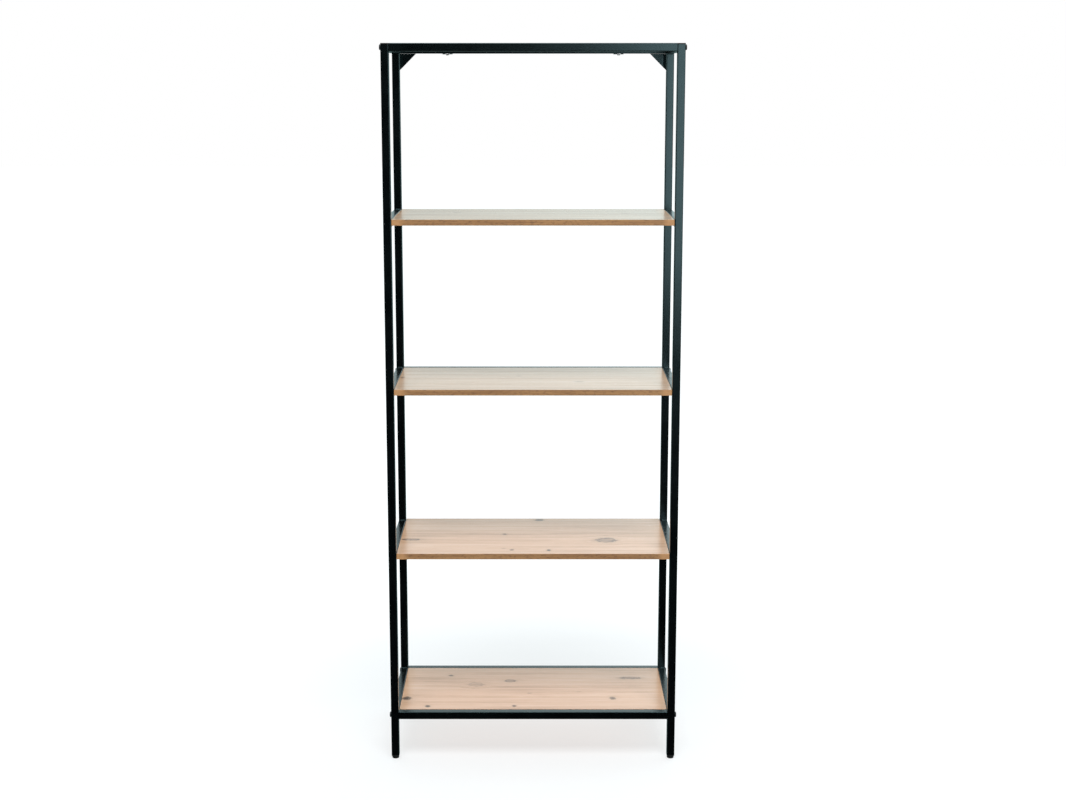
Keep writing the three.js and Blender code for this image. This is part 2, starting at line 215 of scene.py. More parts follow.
class Graph:
    """The node tree of one material or world."""

    def __init__(self, owner: bpy.types.Material | bpy.types.World) -> None:
        """Starts an empty tree.

        Args:
            owner: the material or world that the tree belongs to.
        """
        owner.use_nodes = True
        self.tree = owner.node_tree
        self.tree.nodes.clear()

    def node(self, kind: str, settings: dict | None = None, inputs: dict | None = None,
             output: str | int = 0) -> Wire:
        """Adds any node.

        Args:
            kind: the node's type.
            settings: its properties, set first; "stops" holds a ramp's (place, colour) pairs.
            inputs: the value or the wire of each input socket, by name or index.
            output: the socket that the result is read from.

        Returns:
            The wire of that output; it is empty where the node has none.
        """
        made = self.tree.nodes.new(kind)
        for key, value in (settings or {}).items():
            if key == "stops":
                while len(made.color_ramp.elements) < len(value):
                    made.color_ramp.elements.new(1.0)
                for element, (place, colour) in zip(made.color_ramp.elements, value):
                    element.position = place
                    element.color = (*colour, 1.0)
            else:
                setattr(made, key, value)
        for key, value in (inputs or {}).items():
            if isinstance(value, Wire):
                self.tree.links.new(value.socket, made.inputs[key])
            else:
                made.inputs[key].default_value = value
        return Wire(self, made.outputs[output] if made.outputs else None)

    def place(self) -> Wire:
        """Object coordinates, in metres."""
        return self.node("ShaderNodeTexCoord", output="Object")

    def stretch(self, place: Wire, factors: Triple, offset: Triple = (0.0, 0.0, 0.0)) -> Wire:
        """Scales a vector and then moves it.

        Args:
            place: the vector.
            factors: the factor along each axis.
            offset: what is added along each axis afterwards.

        Returns:
            The new vector.
        """
        return self.node("ShaderNodeVectorMath", {"operation": "MULTIPLY_ADD"},
                         {0: place, 1: factors, 2: offset})

    def noise(self, place: Wire, scale: float | Triple, detail: float = 3.0, roughness: float = 0.55,
              distortion: float = 0.0, offset: Triple = (0.0, 0.0, 0.0)) -> Wire:
        """Fractal noise about 0.5.

        Args:
            place: where it is read.
            scale: features to a metre, in every direction or one number for each axis.
            detail: octaves.
            roughness: how strong the finer octaves are.
            distortion: how far the pattern is twisted.
            offset: how far the pattern is moved, in features, where each axis has its own scale.

        Returns:
            The noise value.
        """
        if isinstance(scale, tuple):
            place, scale = self.stretch(place, scale, offset), 1.0
        return self.node("ShaderNodeTexNoise", None, {
            "Vector": place, "Scale": scale, "Detail": detail, "Roughness": roughness,
            "Distortion": distortion})

    def blend(self, factor: Wire, first: Wire | Colour, second: Wire | Colour) -> Wire:
        """Mixes two colours.

        Args:
            factor: 0 gives the first, 1 the second.
            first: a colour or a wire that carries one.
            second: a colour or a wire that carries one.

        Returns:
            The mixed colour.
        """
        ends = [value if isinstance(value, Wire) else (*value, 1.0) for value in (first, second)]
        # 6 and 7 are the node's colour inputs, and 2 is its colour output.
        return self.node("ShaderNodeMix", {"data_type": "RGBA"}, {0: factor, 6: ends[0], 7: ends[1]}, 2)

    def bump(self, height: Wire, strength: float, distance: float) -> Wire:
        """A normal that is roughened by a height map."""
        return self.node("ShaderNodeBump", None,
                         {"Height": height, "Strength": strength, "Distance": distance},
                         output="Normal")

    def surface(self, **sockets: "Wire | float | Sequence[float]") -> None:
        """Ends the tree in a Principled shader.

        Args:
            sockets: its inputs, with _ in place of the spaces in their names.
        """
        named = {key.replace("_", " "): value for key, value in sockets.items()}
        self.end("ShaderNodeOutputMaterial", self.node("ShaderNodeBsdfPrincipled", None, named))

    def end(self, kind: str, shader: Wire) -> None:
        """Joins a shader to an output node of the given type."""
        self.node(kind, None, {"Surface": shader})


def separate(place: Wire) -> tuple[Wire, Wire, Wire]:
    """Takes a vector apart with one Separate XYZ node.

    Args:
        place: the vector.

    Returns:
        Its three parts.
    """
    first = place.graph.node("ShaderNodeSeparateXYZ", None, {0: place})
    outputs = first.socket.node.outputs
    return first, Wire(place.graph, outputs[1]), Wire(place.graph, outputs[2])


# ---- finishes -----------------------------------------------------------------------------


@dataclass(frozen=True)
class Finish:
    """What the finishes share: a name, and a material made of each one's own nodes."""

    name: str

    def material(self) -> bpy.types.Material:
        """Makes the material.

        Returns:
            The material, with this finish's nodes.
        """
        made = bpy.data.materials.new(self.name)
        self.dress(Graph(made))
        return made

    def dress(self, graph: Graph) -> None:
        """Adds the nodes of this finish."""
        raise NotImplementedError


@dataclass(frozen=True)
class PowderCoat(Finish):
    """Satin black powder coat: a fine orange peel, uneven gloss, and on faces that look up dust with a
    painted sheen of reflected light.

    The fineness of haze, dust and painted sheen, peel and grit is in features to a metre.
    """

    name: str = "satin_powder_coat"
    colour: Colour = (0.0006, 0.0009, 0.0011)
    haze_colour: Colour = (0.0014, 0.0020, 0.0022)
    dust_colour: Colour = (0.030, 0.040, 0.037)
    tint: tuple[float, float, float, float] = (0.56, 0.92, 1.0, 1.0)
    gloss: float = 0.145
    haze: float = 11.0
    dust: float = 45.0
    peel: float = 540.0
    grit: float = 2600.0

    def dress(self, graph: Graph) -> None:
        """Adds the nodes of this finish.

        Args:
            graph: the material's tree.
        """
        place = graph.place()
        haze = graph.noise(place, self.haze, 4.0)
        peel = graph.noise(place, self.peel, 2.0, 0.5)
        grit = graph.noise(place, self.grit, 1.0)
        normal = graph.node("ShaderNodeNewGeometry", output="Normal")
        _, _, up = separate(normal)
        # Faces that look up turn a paler green-grey: partly dust, partly a painted reflection of the
        # bright surroundings.
        dust = up.ramp(0.5, 1.0) * graph.noise(place, self.dust, 5.0, 0.7).ramp(0.42, 0.75) * 0.35
        colour = graph.blend(haze.ramp(0.35, 0.7), self.colour, self.haze_colour)
        colour = graph.blend(dust, colour, self.dust_colour)
        graph.surface(
            Base_Color=colour,
            Roughness=self.gloss + 0.09 * haze + 0.04 * grit + 0.25 * dust,
            Specular_Tint=self.tint,
            Normal=graph.bump(peel + 0.35 * grit, 0.07, 0.12 * MM),
        )


@dataclass(frozen=True)
class Knot:
    """A knot in the decor: its middle on the board, half its length and width, and how well it shows."""

    x: float
    y: float
    length: float
    width: float
    depth: float = 1.0


@dataclass(frozen=True)
class OakDecor(Finish):
    """Light knotty oak with its grain along X: soft streaks, fine pores, brown knots.

    Each of its patterns has its own fineness, in features to a metre along the grain and across it.
    """

    knots: tuple[Knot, ...] = ()
    seed: float = 0.0
    light: Colour = (0.725, 0.496, 0.370)
    mid: Colour = (0.645, 0.406, 0.280)
    dark: Colour = (0.400, 0.240, 0.150)
    # Colour of the light painted towards the board's ends.
    end_colour: Colour = (0.580, 0.330, 0.180)
    knot_colour: Colour = (0.045, 0.026, 0.018)
    # Painted shade: a factor on each colour channel that darkens and cools one board's decor.
    fade: Colour = (1.0, 1.0, 1.0)
    open_knot: float = 14 * MM   # a knot whose half length is over this has a paler, ringed middle
    gloss: float = 0.20
    bands: Triple = Axis.X.split(1.3, 46.0)
    streaks: Triple = Axis.X.split(4.5, 190.0)
    fibres: Triple = Axis.X.split(20.0, 1100.0)
    pores: Triple = Axis.X.split(38.0, 900.0)
    blotches: Triple = Axis.X.split(3.0, 9.0)
    checks: Triple = Axis.X.split(9.0, 26.0)
    check_groups: Triple = Axis.X.split(4.0, 9.0)
    ragged_edge: Triple = Axis.X.split(70.0, 170.0)

    def dress(self, graph: Graph) -> None:
        """Adds the nodes of this finish.

        Args:
            graph: the material's tree.
        """
        place = graph.stretch(graph.place(), (1.0, 1.0, 1.0), (self.seed, self.seed * 1.7, 0.0))
        bent, knot, halo = self._knots(graph, place)
        bands = graph.noise(bent, self.bands, 3.0, 0.5, 0.4)
        streaks = graph.noise(bent, self.streaks, 4.0, 0.6)
        fibres = graph.noise(bent, self.fibres, 2.0, 0.6)
        pores = graph.noise(bent, self.pores, 1.0, offset=(7.0, 3.0, 1.0)).ramp(0.66, 0.80)
        checks = self._checks(graph, bent)
        blotch = graph.noise(place, self.blotches, 2.0)
        tone = 0.30 * bands + 0.30 * streaks + 0.26 * fibres + 0.14 * blotch
        # The painted board shade scales every stop of the ramp.
        stops = [(stop, tuple(part * share for part, share in zip(shade, self.fade)))
                 for stop, shade in ((0.36, self.dark), (0.48, self.mid), (0.60, self.light))]
        colour = graph.node("ShaderNodeValToRGB", {"stops": stops}, {"Fac": tone})
        colour = graph.blend(pores * 0.50, colour, self.dark)
        # Painted light: the decor turns deeper and more orange towards the board's ends.
        colour = graph.blend(self._ends(graph) * 0.55, colour, self.end_colour)
        colour = graph.blend(halo * 0.40, colour, self.dark)
        colour = graph.blend(knot.larger(checks * 0.6), colour, self.knot_colour)
        graph.surface(
            Base_Color=colour,
            Roughness=self.gloss + 0.10 * pores + 0.08 * streaks,
            Normal=graph.bump(0.5 * streaks - pores - 0.6 * knot, 0.16, 0.12 * MM),
        )

    def _ends(self, graph: Graph) -> Wire:
        """Mask of the light painted towards the board's ends, which deepens the decor there."""
        x, _, _ = separate(graph.place())
        return x.larger(0.0 - x).ramp(END_PAINTED_LIGHT_FROM, BOARD_END)

    def _checks(self, graph: Graph, place: Wire) -> Wire:
        """Sparse short drying checks, drawn out along the grain.

        Args:
            graph: the material's tree.
            place: where the pattern is read.

        Returns:
            Their mask.
        """
        cells = graph.stretch(place, self.checks)
        away = graph.node("ShaderNodeTexVoronoi", None, {"Vector": cells, "Scale": 1.0})
        chosen = graph.noise(place, self.check_groups, 1.0, offset=(2.0, 5.0, 0.0))
        return (1.0 - away.ramp(0.02, 0.10)) * chosen.ramp(0.56, 0.62)

    def _knots(self, graph: Graph, place: Wire) -> tuple[Wire, Wire, Wire]:
        """Works out the knots of one board.

        Args:
            graph: the material's tree.
            place: where the pattern is read.

        Returns:
            The place bent round the knots, the mask of their dark cores and outlines, and the
            mask of the darker, ringed grain about them.
        """
        x, y, _ = separate(graph.place())
        ragged = graph.noise(place, self.ragged_edge, 4.0, 0.6) - 0.5
        core: Wire | float = 0.0
        halo: Wire | float = 0.0
        shift: Wire | float = 0.0
        for knot in self.knots:
            across = (y - knot.y) / knot.width
            along = (x - knot.x) / knot.length
            # Reach is 1 at the knot's outline. The split is a dark crack along its middle.
            reach = (across * across + along * along).root() + 1.3 * ragged
            split = (across * across * 30.0 + along * along * 0.35).root() + 1.2 * ragged
            heart = 1.0 - reach.ramp(0.50, 1.05)
            rim = reach.ramp(0.55, 0.85) * (1.0 - reach.ramp(0.85, 1.20))
            heart = (heart * (0.30 if knot.length > self.open_knot else 0.88)).larger(rim * 0.8)
            near = 1.0 - reach.ramp(0.5, 3.0)
            rings = graph.node("ShaderNodeMath", {"operation": "PINGPONG"}, {0: reach * 2.2, 1: 1.0})
            core = heart.larger(1.0 - split.ramp(0.45, 1.05)) * knot.depth + core
            halo = near * (0.45 + 0.55 * rings) * knot.depth + halo
            shift = across * near * (0.9 * knot.width) + shift
        px, py, pz = separate(place)
        bent = graph.node("ShaderNodeCombineXYZ", None, {0: px, 1: py - shift, 2: pz})
        return bent, core.smaller(0.92), halo.smaller(1.0)


@dataclass(frozen=True)
class EdgeBand(Finish):
    """Edge banding, darker than the decor, with streaks along one axis, flecks and specks."""

    along: Axis
    light: Colour = (0.345, 0.180, 0.066)
    dark: Colour = (0.225, 0.105, 0.036)
    # Colour of the light painted towards the board's ends.
    end_colour: Colour = (0.490, 0.250, 0.100)
    speck_colour: Colour = (0.090, 0.040, 0.018)
    gloss: float = 0.46
    flecks: Triple = Axis.Z.split(300.0, 110.0)
    specks: float = 900.0

    def dress(self, graph: Graph) -> None:
        """Adds the nodes of this finish.

        Args:
            graph: the material's tree.
        """
        place = graph.place()
        fine = graph.noise(place, self.along.split(9.0, 300.0), 4.0, 0.65)
        broad = graph.noise(place, self.along.split(3.0, 70.0))
        tone = (0.6 * fine + 0.4 * broad).ramp(0.34, 0.64)
        x, _, _ = separate(place)
        # Painted light: the banding turns lighter and more orange towards the board's ends; the blend
        # below applies it.
        ends = x.larger(0.0 - x).ramp(END_PAINTED_LIGHT_FROM, END_PAINTED_LIGHT_FROM + 20 * MM)
        specks = graph.noise(place, self.specks, 2.0, 0.6).ramp(0.60, 0.72)
        colour = graph.blend(tone, self.dark, self.light)
        flecks = graph.noise(place, self.flecks, 3.0, 0.7)
        dark_spots = (specks * 0.45).larger(flecks.ramp(0.52, 0.62) * 0.50)
        colour = graph.blend(dark_spots, colour, self.speck_colour)
        graph.surface(
            Base_Color=graph.blend(ends * 0.6, colour, self.end_colour),
            Roughness=self.gloss + 0.12 * fine,
            Normal=graph.bump(fine, 0.15, 0.1 * MM),
        )


@dataclass(frozen=True)
class Metal(Finish):
    """Bare or coated steel of the fasteners: brushed streaks, stains and fine scratches."""

    colour: Colour
    stain: Colour
    metallic: float
    gloss: float
    clouds: float = 160.0
    scratches: Triple = Axis.Z.split(4200.0, 900.0)

    def dress(self, graph: Graph) -> None:
        """Adds the nodes of this finish.

        Args:
            graph: the material's tree.
        """
        place = graph.place()
        cloud = graph.noise(place, self.clouds, 4.0, 0.6)
        scratch = graph.noise(place, self.scratches, 2.0)
        graph.surface(
            Base_Color=graph.blend(cloud.ramp(0.4, 0.75), self.colour, self.stain),
            Metallic=self.metallic,
            Roughness=self.gloss + 0.14 * cloud + 0.08 * scratch,
            Normal=graph.bump(scratch, 0.10, 0.05 * MM),
        )


@dataclass(frozen=True)
class MouldedPlastic(Finish):
    """Matt black moulded plastic: spark-eroded grain and scuffs."""

    name: str = "moulded_black_plastic"
    colour: Colour = (0.0050, 0.0052, 0.0055)
    scuff: Colour = (0.020, 0.020, 0.020)
    gloss: float = 0.46
    grain: float = 1500.0
    scuffs: Triple = Axis.Z.split(260.0, 70.0)

    def dress(self, graph: Graph) -> None:
        """Adds the nodes of this finish.

        Args:
            graph: the material's tree.
        """
        place = graph.place()
        grain = graph.noise(place, self.grain, 2.0, 0.6)
        scuffs = graph.noise(place, self.scuffs, 5.0, 0.7)
        graph.surface(
            Base_Color=graph.blend(scuffs.ramp(0.55, 0.85), self.colour, self.scuff),
            Roughness=self.gloss + 0.12 * grain + 0.10 * scuffs,
            Normal=graph.bump(grain, 0.20, 0.12 * MM),
        )


@dataclass(frozen=True)
class StudioFloor(Finish):
    """Pale seamless light table with a barely uneven tone, which glows more away from its middle."""

    name: str = "pale_floor"
    colour: Colour = (0.292, 0.302, 0.310)
    shade: Colour = (0.280, 0.290, 0.298)
    near_glow: Colour = (0.648, 0.650, 0.653)
    far_glow: Colour = (0.82, 0.82, 0.82)
    near: float = 0.6   # metres from the middle within which the near glow holds
    far: float = 1.5    # and beyond which the far glow does

    def dress(self, graph: Graph) -> None:
        """Adds the nodes of this finish.

        Args:
            graph: the material's tree.
        """
        place = graph.place()
        cloud = graph.noise(place, 1.4, 3.0)
        away = graph.node("ShaderNodeVectorMath", {"operation": "LENGTH"}, {0: place}, "Value")
        graph.surface(
            Base_Color=graph.blend(cloud.ramp(0.3, 0.7), self.colour, self.shade),
            Roughness=0.85 + 0.1 * cloud,
            Emission_Color=graph.blend(away.ramp(self.near, self.far), self.near_glow, self.far_glow),
            Emission_Strength=1.0,
        )


# ---- the bench ----------------------------------------------------------------------------


@dataclass
class Workpiece:
    """One mesh on the bench, shaped by operators until it is finished."""

    body: bpy.types.Object

    @staticmethod
    def clear_bench() -> None:
        """Leaves edit mode and deselects everything."""
        if bpy.context.object and bpy.context.object.mode != "OBJECT":
            bpy.ops.object.mode_set(mode="OBJECT")
        bpy.ops.object.select_all(action="DESELECT")

    @classmethod
    def _started(cls, name: str) -> "Workpiece":
        """Takes up the primitive that was added last, and puts its place in its mesh.

        Args:
            name: the piece's name.

        Returns:
            The new piece.
        """
        made = bpy.context.object
        made.name = name
        made.data.name = name
        bpy.ops.object.transform_apply(location=True, rotation=True, scale=True)
        return cls(made)

    @classmethod
    def block(cls, name: str, low: Sequence[float], high: Sequence[float]) -> "Workpiece":
        """Starts from a cuboid.

        Args:
            name: the piece's name.
            low: its lowest corner.
            high: its highest corner.

        Returns:
            The new piece.
        """
        cls.clear_bench()
        low, high = Vector(low), Vector(high)
        bpy.ops.mesh.primitive_cube_add(size=1.0, location=(low + high) / 2, scale=high - low)
        return cls._started(name)

    @classmethod
    def rod(cls, name: str, radius: float, start: Sequence[float], length: float,
            along: Axis = Axis.Z, sides: int = 48) -> "Workpiece":
        """Starts from a round or many-sided bar.

        Args:
            name: the piece's name.
            radius: to its corners.
            start: middle of its lower end.
            length: how far it runs.
            along: the axis that it follows.
            sides: how many sides it has.

        Returns:
            The new piece.
        """
        cls.clear_bench()
        middle = Vector(start) + along.vector(length / 2)
        bpy.ops.mesh.primitive_cylinder_add(vertices=sides, radius=radius, depth=length,
                                            location=middle, rotation=along.turn)
        return cls._started(name)

    @classmethod
    def copy_of_node(cls, name: str, node: str) -> "Workpiece":
        """Starts from a merged copy of a node's own mesh.

        Args:
            name: the piece's name.
            node: the node to copy.

        Returns:
            The new piece, with flat faces made whole.
        """
        cls.clear_bench()
        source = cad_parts[node]
        made = bpy.data.objects.new(name, source.data.copy())
        made.data.name = name
        made.data.materials.clear()
        bpy.context.scene.collection.objects.link(made)
        piece = cls(made)
        piece.take_up()
        bpy.ops.mesh.customdata_custom_splitnormals_clear()
        piece.pick_faces(lambda face: True)
        bpy.ops.mesh.remove_doubles(threshold=0.01 * MM)
        bpy.ops.mesh.dissolve_limited(angle_limit=math.radians(1.0))
        bpy.ops.mesh.normals_make_consistent(inside=False)
        piece.put_down()
        return piece

    def take_up(self) -> None:
        """Makes this the only selected object and the active one."""
        self.clear_bench()
        self.body.select_set(True)
        bpy.context.view_layer.objects.active = self.body

    def put_down(self) -> None:
        """Returns to object mode."""
        bpy.ops.object.mode_set(mode="OBJECT")

    def _pick(self, mode: str, test: Callable) -> "Workpiece":
        """Opens edit mode with just some faces or edges selected.

        Args:
            mode: FACE or EDGE.
            test: whether a face or edge is to be selected.

        Returns:
            This piece, in edit mode.
        """
        self.take_up()
        bpy.ops.object.mode_set(mode="EDIT")
        bpy.ops.mesh.select_mode(type=mode)
        bpy.ops.mesh.select_all(action="DESELECT")
        mesh = bmesh.from_edit_mesh(self.body.data)
        mesh.normal_update()
        for element in (mesh.faces if mode == "FACE" else mesh.edges):
            if test(element):
                element.select_set(True)
        mesh.select_flush_mode()
        bmesh.update_edit_mesh(self.body.data)
        return self

    def pick_faces(self, test: Callable[[bmesh.types.BMFace], bool]) -> "Workpiece":
        """Selects the faces that pass a test."""
        return self._pick("FACE", test)

    def pick_edges(self, test: Callable[[bmesh.types.BMEdge], bool]) -> "Workpiece":
        """Selects the edges that pass a test."""
        return self._pick("EDGE", test)

    def pick_side(self, along: Axis, sign: int) -> "Workpiece":
        """Selects the faces that look along an axis, one way."""
        return self.pick_faces(lambda face: sign * face.normal[along.value] > FLAT)

    def pick_edges_along(self, along: Axis) -> "Workpiece":
        """Selects the edges that run along an axis.

        Args:
            along: the axis.

        Returns:
            This piece, in edit mode.
        """
        def runs(edge: bmesh.types.BMEdge) -> bool:
            """Whether an edge is parallel to the axis."""
            way = (edge.verts[1].co - edge.verts[0].co).normalized()
            return abs(way[along.value]) > PARALLEL
        return self.pick_edges(runs)

    def pick_rim(self, along: Axis, height: float) -> "Workpiece":
        """Selects the edges that lie in one plane across an axis.

        Args:
            along: the axis.
            height: where the plane cuts it.

        Returns:
            This piece, in edit mode.
        """
        def lies(edge: bmesh.types.BMEdge) -> bool:
            """Whether both ends of an edge are in the plane."""
            return all(abs(vert.co[along.value] - height) < IN_PLANE for vert in edge.verts)
        return self.pick_edges(lies)

    def bevel(self, width: float, segments: int, profile: float = 0.5) -> "Workpiece":
        """Rounds the selected edges and leaves edit mode.

        Args:
            width: how far the rounding reaches.
            segments: how many faces go round it.
            profile: its fullness; 0.5 is a round arc.

        Returns:
            This piece.
        """
        bpy.ops.mesh.bevel(offset=width, segments=segments, profile=profile, affect="EDGES",
                           clamp_overlap=True)
        self.put_down()
        return self

    def inset(self, thickness: float, depth: float = 0.0) -> "Workpiece":
        """Insets the selected faces and leaves the inner ones selected."""
        bpy.ops.mesh.inset(thickness=thickness, depth=depth, use_even_offset=True)
        return self

    def draw_out(self, move: Sequence[float], scale: float = 1.0) -> "Workpiece":
        """Extrudes the selected faces.

        Args:
            move: how far they move.
            scale: the size of the moved faces, about their own middle.

        Returns:
            This piece, with the moved faces selected.
        """
        bpy.ops.mesh.extrude_region_move(TRANSFORM_OT_translate={"value": tuple(move)})
        if scale != 1.0:
            mesh = bmesh.from_edit_mesh(self.body.data)
            chosen = [vert.co for vert in mesh.verts if vert.select]
            middle = sum(chosen, Vector()) / len(chosen)
            bpy.ops.transform.resize(value=(scale, scale, scale), center_override=middle)
        return self

    def modify(self, kind: str, **settings: object) -> "Workpiece":
        """Adds a modifier and applies it.

        Args:
            kind: the modifier's type.
            settings: its properties.

        Returns:
            This piece.
        """
        self.take_up()
        modifier = self.body.modifiers.new(kind.lower(), kind)
        for key, value in settings.items():
            setattr(modifier, key, value)
        bpy.ops.object.modifier_apply(modifier=modifier.name)
        return self

    def cut(self, *tools: "Workpiece") -> "Workpiece":
        """Cuts each tool out of this piece, and uses the tool up."""
        return self._combine("DIFFERENCE", tools)

    def weld(self, *others: "Workpiece") -> "Workpiece":
        """Joins each other piece into this one, and uses it up."""
        return self._combine("UNION", others)

    def _combine(self, operation: str, others: Iterable["Workpiece"]) -> "Workpiece":
        """Runs one boolean for each other piece, and clears the slivers that it leaves.

        Args:
            operation: DIFFERENCE or UNION.
            others: the other pieces, which are used up.

        Returns:
            This piece.
        """
        for other in others:
            self.modify("BOOLEAN", operation=operation, object=other.body, solver="EXACT")
            other.scrap()
        self.pick_faces(lambda face: True)
        bpy.ops.mesh.dissolve_degenerate(threshold=0.002 * MM)
        self.put_down()
        return self

    def scrap(self) -> None:
        """Removes the piece."""
        bpy.data.objects.remove(self.body)

    def copy(self, name: str, to: Matrix) -> "Workpiece":
        """Makes a copy with its own mesh, set in its place.

        Args:
            name: the copy's name.
            to: where it goes; the copy's mesh takes it up.

        Returns:
            The copy.
        """
        self.take_up()
        bpy.ops.object.duplicate(linked=False)
        made = bpy.context.object
        made.name = name
        made.data.name = name
        made.matrix_world = to
        bpy.ops.object.transform_apply(location=True, rotation=True, scale=True)
        return Workpiece(made)

    def finish(self, materials: Sequence[bpy.types.Material], slot: str, body: str = "frame",
               stands_for: Sequence[str] = (), angle: float = 35.0) -> bpy.types.Object:
        """Smooths, dresses and hands over the piece.

        Args:
            materials: its materials, in the order of its faces' indices.
            slot: the record's material slot; it is not used.
            body: the body that it rides on.
            stands_for: the nodes that it replaces.
            angle: edges sharper than this stay sharp, in degrees.

        Returns:
            The finished object.
        """
        self.take_up()
        for material in materials:
            self.body.data.materials.append(material)
        bpy.ops.object.shade_smooth_by_angle(angle=math.radians(angle))
        self.modify("WEIGHTED_NORMAL", weight=100, keep_sharp=True)
        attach(self.body, body)
        if stands_for:
            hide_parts(*stands_for)
        LOG.info("%s: %d faces, rides on %s", self.body.name, len(self.body.data.polygons), body)
        return self.body


# ---- sub-assemblies -----------------------------------------------------------------------


@dataclass
class TubeWork:
    """Makes square tube with round corners and a true wall."""

    wall: float = 1.2 * MM
    corner: float = 1.8 * MM
    corner_segments: int = 6

    def tube(self, name: str, node: str, along: Axis) -> Workpiece:
        """Makes the tube that fills a node's box.

        Args:
            name: the piece's name.
            node: the node whose box it fills.
            along: the way that it runs.

        Returns:
            The open tube.
        """
        return self.tube_between(name, *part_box(node), along)

    def tube_between(self, name: str, low: Sequence[float], high: Sequence[float],
                     along: Axis) -> Workpiece:
        """Makes the tube that fills a box.

        Args:
            name: the piece's name.
            low: the box's lowest corner.
            high: its highest corner.
            along: the way that the tube runs.

        Returns:
            The open tube.
        """
        piece = Workpiece.block(name, low, high)
        piece.pick_faces(lambda face: abs(face.normal[along.value]) > FLAT)
        bpy.ops.mesh.delete(type="ONLY_FACE")
        piece.put_down()
        piece.pick_edges_along(along).bevel(self.corner, self.corner_segments)
        return piece.modify("SOLIDIFY", thickness=self.wall, offset=-1.0, use_even_offset=True)


